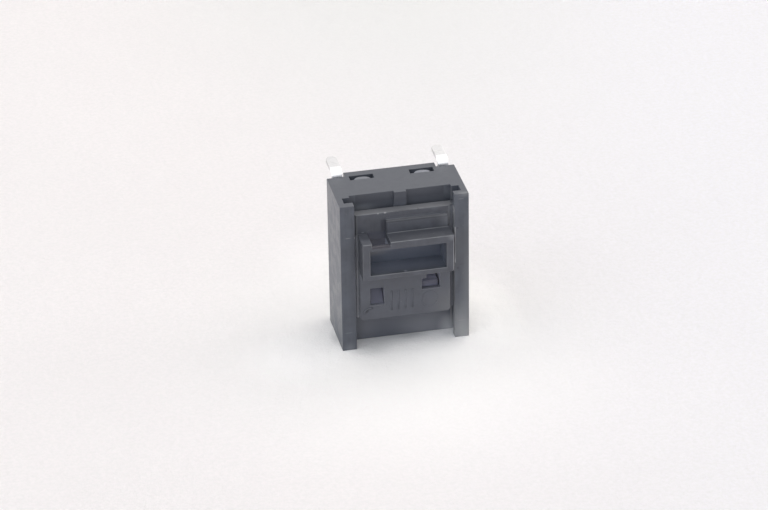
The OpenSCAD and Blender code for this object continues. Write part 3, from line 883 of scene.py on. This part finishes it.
class SWITCH_OT_slider(Operator):
    """Build the slider with rounded edges and plain raised moulding marks"""

    bl_idname = "slide_switch.slider"
    bl_label = "Slider"

    def execute(self, context):
        shape, finish = context.scene.switch_shape, context.scene.switch_finish
        material = moulded_plastic(
            "slider_plastic", finish.slider_colour, finish, 0.42, SLIDER_MARKS_AND_LIGHT,
            slider_light_and_shade(finish), streak=0.2,
        )
        foot, head, front = block_planes()

        def foot_corner(edge):
            """The inner corner along the foot of the block and of the upper face."""
            return not edge.is_convex and all(
                abs(v.co.z / MM - foot) < CLOSE
                and front - FOOT_BEFORE < v.co.y / MM < front + FOOT_BEHIND
                for v in edge.verts
            )

        def block_edge(edge):
            """The edges round the block's front."""
            return edge.is_convex and all(
                foot - CLOSE < v.co.z / MM < head + CLOSE
                and abs(v.co.y / MM - front) < 2 * CLOSE
                for v in edge.verts
            )

        mesh = node_mesh("slider")
        # The inner corner at the block's foot gets a strong painted highlight.
        round_edges(mesh, shape.slider_edge, evenly(0.8), wanted=foot_corner, sizes=(1.0,))
        round_edges(
            mesh, shape.block_edge, evenly(LEAST_RUB), segments=4, wanted=block_edge, sizes=(1.0,)
        )
        round_edges(mesh, shape.slider_edge, rub_and_highlight_by_facing)
        plate = front_of("slider", 0, 4.5)
        line = (shape.mark_width / MM, shape.mark_height / MM)
        for x in BAR_PLACES:
            add_raised_line(mesh, [(x, BAR_FOOT), (x, BAR_HEAD)], line, (1, 1), plate, False)
        ring = curve_points(RING_CENTRE, RING_RADII, range(0, 360, 10))
        add_raised_line(mesh, ring, line, RING_LINE, plate, True)
        arc = curve_points(ARC_CENTRE, ARC_RADII, range(85, 181, 12))
        add_raised_line(mesh, arc, line, ARC_LINE, plate, False)
        as_piece(mesh, "slider_shell", material, "slider", ["slider"])
        return {"FINISHED"}


class SWITCH_OT_contact_carrier(Operator):
    """Build the carrier whose peg and hook show in the slider's holes"""

    bl_idname = "slide_switch.contact_carrier"
    bl_label = "Contact carrier"

    def execute(self, context):
        shape, finish = context.scene.switch_shape, context.scene.switch_finish
        material = moulded_plastic(
            "carrier_plastic", finish.carrier_colour, finish, 0.4, light_boxes=CARRIER_LIGHT_AND_SHADE,
            streak=0.15,
        )
        mesh = round_edges(node_mesh("contact_carrier"), shape.slider_edge * 0.6, evenly(0.3))
        as_piece(mesh, "carrier_body", material, "slider", ["contact_carrier"])
        return {"FINISHED"}


class SWITCH_OT_terminals(Operator):
    """Build both bent pins with softened edges, tin plating and a painted highlight on their bends
    """

    bl_idname = "slide_switch.terminals"
    bl_label = "Terminals"

    def execute(self, context):
        shape, finish = context.scene.switch_shape, context.scene.switch_finish
        bend_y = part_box("terminal_left")[0].y / MM + BEND_DEPTH
        # Painted highlight on the tin near the pins' bends.
        bend_highlight = ((-7, bend_y - 2, 0), (7, bend_y, 20), (0.1, 0.3, 0.1), 1.0, TIN_HIGHLIGHT)
        material = metal_strip("tin_plating", finish.tin_colour, 0.42, [bend_highlight])
        for side in ("left", "right"):
            node = f"terminal_{side}"
            mesh = round_edges(node_mesh(node), shape.pin_edge, evenly(0.2), least_angle=40)
            as_piece(mesh, f"pin_{side}", material, "housing", [node])
        return {"FINISHED"}


def finish_nodes(material, *nodes):
    """Gives CAD nodes that show as they are a finish."""
    for node in nodes:
        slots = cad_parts[node].material_slots
        if not slots:
            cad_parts[node].data.materials.append(material)
        for place in slots:
            place.material = material


class SWITCH_OT_contacts(Operator):
    """Give the contacts and the strip between them their finishes"""

    bl_idname = "slide_switch.contacts"
    bl_label = "Contacts"

    def execute(self, context):
        finish = context.scene.switch_finish
        finish_nodes(
            metal_strip("contact_silver", finish.silver_colour, 0.25),
            "fixed_contact_left", "fixed_contact_right",
            "moving_contact_left", "moving_contact_right",
        )
        copper = metal_strip("copper_strip", finish.copper_colour, 0.3)
        finish_nodes(copper, "bridge_contact")
        return {"FINISHED"}


class SWITCH_OT_springs(Operator):
    """Give the contact springs and the leaf spring their finish"""

    bl_idname = "slide_switch.springs"
    bl_label = "Springs"

    def execute(self, context):
        steel = metal_strip("spring_steel", context.scene.switch_finish.steel_colour, 0.28)
        finish_nodes(steel, "contact_spring_left", "contact_spring_right", "detent_spring")
        return {"FINISHED"}


# ---------------------------------------------------------------- stage


def paper_material(stage):
    """Soft white paper, with a faint mottle, fibres and a fine tooth, painted light and shade round
    the switch and a faint glow that the camera alone sees.
    """
    material, tree, shader = new_material("floor_paper")
    places = in_millimetres(tree)
    warm = stage.floor_colour
    cool = [part * shift for part, shift in zip(warm, COOL_SHIFT)]
    mottle = remap(tree, noise(tree, places, 0.05, detail=3.0), 0.35, 0.65)
    ground = blend_colours(tree, mottle, with_alpha(scaled(warm, 0.985)), with_alpha(warm))
    across = remap(tree, add(tree, "ShaderNodeSeparateXYZ", {0: places}).outputs[0], -15, 50)
    ground = blend_colours(tree, across, ground, with_alpha(cool))
    fibres = noise(tree, places, 2.6, detail=3.0, roughness=0.7)
    fibres = remap(tree, fibres, 0.35, 0.65, out_high=0.5)
    ground = blend_colours(tree, fibres, ground, with_alpha(FIBRE_COLOUR))
    # Painted light and shade on the paper.
    tree.links.new(marked(tree, ground, FLOOR_LIGHT_AND_SHADE), shader.inputs["Base Color"])
    shader.inputs["Roughness"].default_value = 0.85
    shader.inputs["Specular IOR Level"].default_value = 0.1
    # Painted light: the paper glows a little in soft patches, for camera rays only.
    lift = 0.0
    for centre, half, amount in FLOOR_GLOW:
        patch = effect(tree, small_mark, centre=centre, half_size=half, softness=1.0)
        lift = maths(tree, "ADD", maths(tree, "MULTIPLY", patch["Mask"], amount), lift)
    seen = add(tree, "ShaderNodeLightPath").outputs["Is Camera Ray"]
    tree.links.new(maths(tree, "MULTIPLY", lift, seen), shader.inputs["Emission Color"])
    shader.inputs["Emission Strength"].default_value = 1.0
    tooth = noise(tree, places, 5.0, detail=4.0, roughness=0.7)
    waves = maths(tree, "MULTIPLY", noise(tree, places, 0.8), 1.5)
    add_bump(tree, shader, maths(tree, "ADD", tooth, waves), depth=0.0001, strength=0.8)
    return material


def add_floor(stage):
    """The square paper floor under the switch."""
    mesh = bmesh.new()
    bmesh.ops.create_grid(mesh, x_segments=1, y_segments=1, size=stage.floor_size / 2)
    data = bpy.data.meshes.new("floor")
    mesh.to_mesh(data)
    mesh.free()
    floor = bpy.data.objects.new("floor", data)
    bpy.context.collection.objects.link(floor)
    floor.location.z = CAD_BOX[0][2]
    data.materials.append(paper_material(stage))


def add_lamp(name, place, size, power, colour):
    """A square soft lamp that faces the middle of the switch."""
    middle = Vector((0, 0, (CAD_BOX[0][2] + CAD_BOX[1][2]) / 2))
    data = bpy.data.lights.new(name, "AREA")
    data.shape, data.size, data.energy, data.color = "SQUARE", size, power, colour
    lamp = bpy.data.objects.new(name, data)
    bpy.context.collection.objects.link(lamp)
    lamp.location = place
    lamp.rotation_euler = (middle - Vector(place)).to_track_quat("-Z", "Y").to_euler()


def even_light(stage):
    """White surroundings that light the switch evenly and show white where they are seen."""
    world = bpy.data.worlds.new("even_light")
    world.use_nodes = True
    tree = world.node_tree
    rays = add(tree, "ShaderNodeLightPath").outputs
    seen = maths(tree, "ADD", rays["Is Camera Ray"], rays["Is Glossy Ray"])
    seen = maths(tree, "ADD", seen, rays["Is Transmission Ray"], clamp=True)
    values = {"Value": seen, "To Min": stage.sky_strength, "To Max": 1.0}
    strength = add(tree, "ShaderNodeMapRange", values).outputs[0]
    tree.links.new(strength, tree.nodes["Background"].inputs["Strength"])
    tree.nodes["Background"].inputs["Color"].default_value = with_alpha(SKY_COLOUR)
    return world


def add_camera(stage):
    """The camera, from its place, aim and roll."""
    data = bpy.data.cameras.new("camera")
    data.sensor_width, data.sensor_fit, data.lens = SENSOR_WIDTH, "HORIZONTAL", stage.lens
    data.clip_start, data.clip_end = CLIP_NEAR, CLIP_FAR
    camera = bpy.data.objects.new("camera", data)
    bpy.context.collection.objects.link(camera)
    ahead = Vector(stage.camera_aim).normalized()
    level = ahead.cross(Vector((0, 0, 1))).normalized()
    right = Matrix.Rotation(-stage.camera_roll, 3, ahead) @ level
    turned = Matrix((right, right.cross(ahead), -ahead)).transposed().to_4x4()
    camera.matrix_world = Matrix.Translation(stage.camera_place) @ turned
    bpy.context.scene.camera = camera


class SWITCH_OT_stage(Operator):
    """Build the paper floor, the lamps, the even light and the camera"""

    bl_idname = "slide_switch.stage"
    bl_label = "Stage"

    def execute(self, context):
        stage = context.scene.switch_stage
        add_floor(stage)
        for name, place, power, colour in (
            ("key_lamp", (0.43, 0.2, 0.37), stage.key_power, stage.warm_colour),
            ("top_lamp", (0.07, -0.27, 0.53), stage.top_power, (1, 1, 1)),
            ("rear_lamp", (-0.35, 0.35, 0.34), stage.rear_power, stage.warm_colour),
            ("side_lamp", (-0.49, 0, 0.34), stage.side_power, stage.warm_colour),
            ("near_lamp", (-0.35, -0.35, 0.34), stage.near_power, stage.cool_colour),
        ):
            add_lamp(name, place, stage.lamp_size, power, colour)
        context.scene.world = even_light(stage)
        add_camera(stage)
        context.scene.view_settings.view_transform = "Standard"
        return {"FINISHED"}


STEPS = (
    SWITCH_OT_housing,
    SWITCH_OT_base,
    SWITCH_OT_slider,
    SWITCH_OT_contact_carrier,
    SWITCH_OT_terminals,
    SWITCH_OT_contacts,
    SWITCH_OT_springs,
    SWITCH_OT_stage,
)
SETTINGS = {
    "switch_shape": SwitchShape,
    "switch_finish": SwitchFinish,
    "switch_stage": SwitchStage,
}


class SWITCH_PT_panel(Panel):
    """Lists the switch's sizes, finishes and steps"""

    bl_idname = "SWITCH_PT_panel"
    bl_label = "Slide switch"
    bl_space_type = "VIEW_3D"
    bl_region_type = "UI"
    bl_category = "Slide switch"

    def draw(self, context):
        for title, name in (
            ("Shape", "switch_shape"),
            ("Finish", "switch_finish"),
            ("Stage", "switch_stage"),
        ):
            box = self.layout.box()
            box.label(text=title)
            for key in SETTINGS[name].__annotations__:
                box.prop(getattr(context.scene, name), key)
        for step in STEPS:
            self.layout.operator(step.bl_idname)


CLASSES = (*SETTINGS.values(), *STEPS, SWITCH_PT_panel)


def register():
    """Registers every class and puts the settings on the scene."""
    for cls in CLASSES:
        bpy.utils.register_class(cls)
    for name, cls in SETTINGS.items():
        setattr(bpy.types.Scene, name, PointerProperty(type=cls))


def unregister():
    """Takes the settings and every class away again."""
    for name in SETTINGS:
        delattr(bpy.types.Scene, name)
    for cls in reversed(CLASSES):
        bpy.utils.unregister_class(cls)


def main():
    """Builds the whole scene."""
    register()
    for step in STEPS:
        area, name = step.bl_idname.split(".")
        getattr(getattr(bpy.ops, area), name)()


if __name__ == "__main__":
    main()
